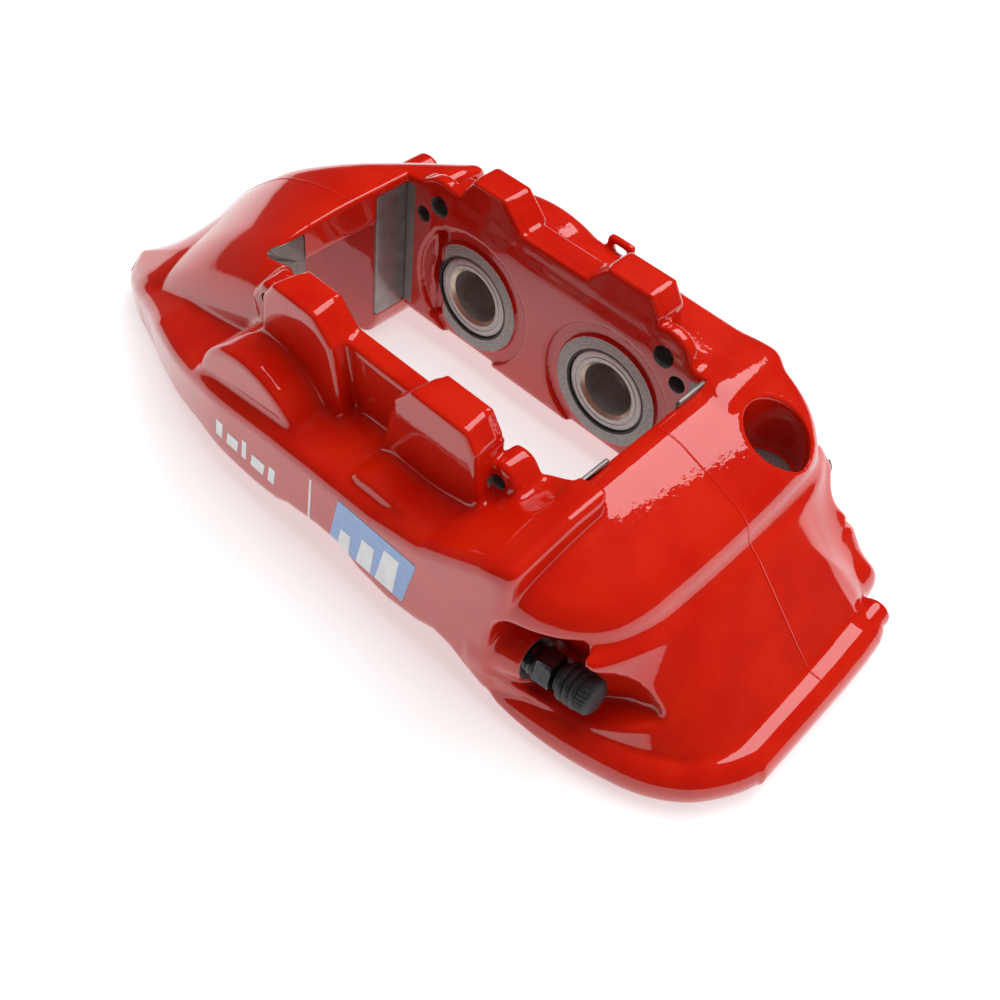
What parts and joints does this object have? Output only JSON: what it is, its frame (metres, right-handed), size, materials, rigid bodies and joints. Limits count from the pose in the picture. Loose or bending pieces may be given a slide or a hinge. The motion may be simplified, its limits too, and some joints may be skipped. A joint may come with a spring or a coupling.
{
  "type": "brake caliper",
  "caption": "Fixed disc brake caliper cast in one piece, with opposed pistons, pad abutment plates, bleed screws and radial bolt mounting.",
  "frame": {"origin": "centre of the bounding box in X and Y, at the bottom plane of the mounting feet", "axes": "+X along the caliper towards the bleed screws, +Y along the wheel axle to the inboard half, +Z away from the axle"},
  "size_m": [0.307, 0.138, 0.0845],
  "materials": {
    "red_paint": "glossy red enamel on cast aluminium",
    "piston_metal": "turned and hard anodised",
    "abutment_steel": "dull stainless sheet",
    "black_oxide": "blackened steel",
    "seal_rubber": "smooth black rubber",
    "cap_rubber": "moulded black rubber",
    "plug_steel": "zinc-plated steel"
  },
  "bodies": {
    "caliper": {"caliper_body": "red_paint", "pressure_seal_outboard_left": "seal_rubber", "pressure_seal_outboard_right": "seal_rubber", "pressure_seal_inboard_left": "seal_rubber", "pressure_seal_inboard_right": "seal_rubber", "dust_seal_outboard_left": "seal_rubber", "dust_seal_outboard_right": "seal_rubber", "dust_seal_inboard_left": "seal_rubber", "dust_seal_inboard_right": "seal_rubber", "abutment_plate_outboard_left": "abutment_steel", "abutment_plate_outboard_right": "abutment_steel", "abutment_plate_inboard_left": "abutment_steel", "abutment_plate_inboard_right": "abutment_steel", "gallery_plug": "plug_steel"},
    "piston_ol": {"piston_outboard_left": "piston_metal"},
    "piston_or": {"piston_outboard_right": "piston_metal"},
    "piston_il": {"piston_inboard_left": "piston_metal"},
    "piston_ir": {"piston_inboard_right": "piston_metal"},
    "bleeder_out": {"bleed_screw_outboard": "black_oxide"},
    "bleeder_in": {"bleed_screw_inboard": "black_oxide"},
    "cap_out": {"bleed_cap_outboard": "cap_rubber"},
    "cap_in": {"bleed_cap_inboard": "cap_rubber"}
  },
  "joints": [
    {"name": "piston_outboard_left_slide", "type": "slide", "parent": "caliper", "child": "piston_ol", "axis": [0, 1, 0], "range_m": [0, 0.012]},
    {"name": "piston_outboard_right_slide", "type": "slide", "parent": "caliper", "child": "piston_or", "axis": [0, 1, 0], "range_m": [0, 0.012]},
    {"name": "piston_inboard_left_slide", "type": "slide", "parent": "caliper", "child": "piston_il", "axis": [0, -1, 0], "range_m": [0, 0.012]},
    {"name": "piston_inboard_right_slide", "type": "slide", "parent": "caliper", "child": "piston_ir", "axis": [0, -1, 0], "range_m": [0, 0.012]},
    {"name": "bleed_screw_outboard_turn", "type": "hinge", "parent": "caliper", "child": "bleeder_out", "pos_m": [0.084, -0.0582, 0.0284], "axis": [0.9744, 0, 0.225], "range_deg": [0, 360]},
    {"name": "bleed_screw_inboard_turn", "type": "hinge", "parent": "caliper", "child": "bleeder_in", "pos_m": [0.084, 0.0622, 0.0284], "axis": [0.9744, 0, 0.225], "range_deg": [0, 360]},
    {"name": "bleed_cap_outboard_pull", "type": "slide", "parent": "bleeder_out", "child": "cap_out", "axis": [0.9744, 0, 0.225], "range_m": [0, 0.0105]},
    {"name": "bleed_cap_inboard_pull", "type": "slide", "parent": "bleeder_in", "child": "cap_in", "axis": [0.9744, 0, 0.225], "range_m": [0, 0.0105]}
  ]
}
